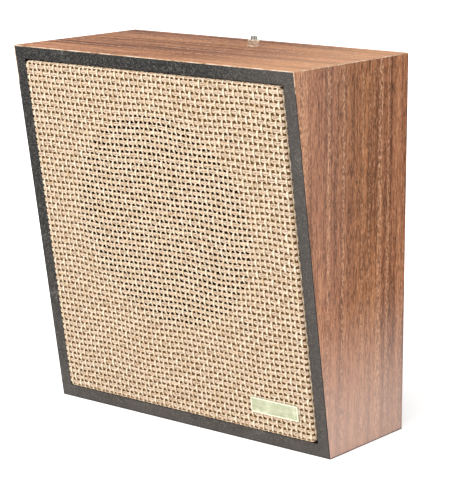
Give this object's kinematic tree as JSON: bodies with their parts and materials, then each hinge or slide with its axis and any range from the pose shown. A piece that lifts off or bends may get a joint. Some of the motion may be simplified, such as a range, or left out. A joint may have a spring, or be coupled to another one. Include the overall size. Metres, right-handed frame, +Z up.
{
  "type": "wall speaker",
  "caption": "Sloping-front wall speaker: a walnut-skinned box with a woven grille, an open back, a cone driver, a line transformer and a slotted volume shaft on top.",
  "frame": {"origin": "on the floor, under the middle of the whole width and depth; the speaker stands on its flat bottom", "axes": "+X to the viewer's right, -Y out of the sloping front, +Y towards the wall, +Z up"},
  "size_m": [0.254, 0.1337, 0.2821],
  "materials": {
    "walnut": "satin laminate with open grain",
    "painted_chipboard": "black paint on the front edges, bare board inside",
    "pine": "bare sawn softwood",
    "hardboard": "bare hardboard",
    "grille_cloth": "open basket weave",
    "plate_metal": "satin, pale gold",
    "zinc": "zinc plated",
    "nickel": "nickel plated",
    "tinned_brass": "tinned",
    "basket_steel": "grey enamel",
    "core_steel": "dipped in dark varnish",
    "ferrite": "matt",
    "cork": "matt",
    "cone_paper": "matt felted paper",
    "surround_cloth": "doped cloth",
    "spider_cloth": "resin-dipped cloth",
    "former_card": "matt",
    "copper": "enamelled",
    "phenolic": "pressed phenolic",
    "bobbin_nylon": "moulded",
    "coil_tape": "wrapped in tape",
    "lead_black": "insulation",
    "lead_blue": "insulation",
    "lead_red": "insulation"
  },
  "bodies": {
    "cabinet": {"top_board": "painted_chipboard", "bottom_board": "painted_chipboard", "left_board": "painted_chipboard", "right_board": "painted_chipboard", "top_skin": "walnut", "bottom_skin": "walnut", "left_skin": "walnut", "right_skin": "walnut", "corner_blocks": "pine", "baffle_board": "hardboard", "baffle_blocks": "pine", "baffle_screws": "zinc", "grille_cloth": "grille_cloth", "cloth_staples": "zinc", "name_plate": "plate_metal", "plate_clips": "zinc", "driver_bolts": "zinc", "driver_nuts": "zinc", "gasket": "cork", "basket": "basket_steel", "surround": "surround_cloth", "spider": "spider_cloth", "top_plate": "zinc", "magnet": "ferrite", "pole_yoke": "zinc", "lug_strip": "phenolic", "driver_lugs": "tinned_brass", "tinsel_leads": "copper", "transformer_core": "core_steel", "transformer_bobbin": "bobbin_nylon", "transformer_coil": "coil_tape", "transformer_strap": "zinc", "transformer_screws": "zinc", "volume_housing": "zinc", "volume_lugs": "tinned_brass", "volume_bushing": "nickel", "volume_washer": "nickel", "volume_nut": "nickel", "input_base": "phenolic", "input_bars": "tinned_brass", "input_screws": "zinc", "input_base_screws": "zinc", "hanger_rail": "pine", "keyhole_plates": "zinc", "keyhole_screws": "zinc", "primary_leads": "lead_black", "secondary_leads": "lead_blue", "driver_leads": "lead_red"},
    "cone": {"cone": "cone_paper", "dust_cap": "cone_paper", "coil_former": "former_card", "voice_coil": "copper"},
    "volume_shaft": {"volume_shaft": "nickel"}
  },
  "joints": [
    {"name": "cone_travel", "type": "slide", "parent": "cabinet", "child": "cone", "axis": [0, -0.9871, -0.16], "range_m": [-0.0025, 0.0025], "stiffness_N_per_m": 4000, "deforming": ["surround", "spider", "tinsel_leads"]},
    {"name": "volume_turn", "type": "hinge", "parent": "cabinet", "child": "volume_shaft", "pos_m": [0.017, 0.03236, 0.2746], "axis": [0, 0, 1], "range_deg": [-150, 150]}
  ]
}
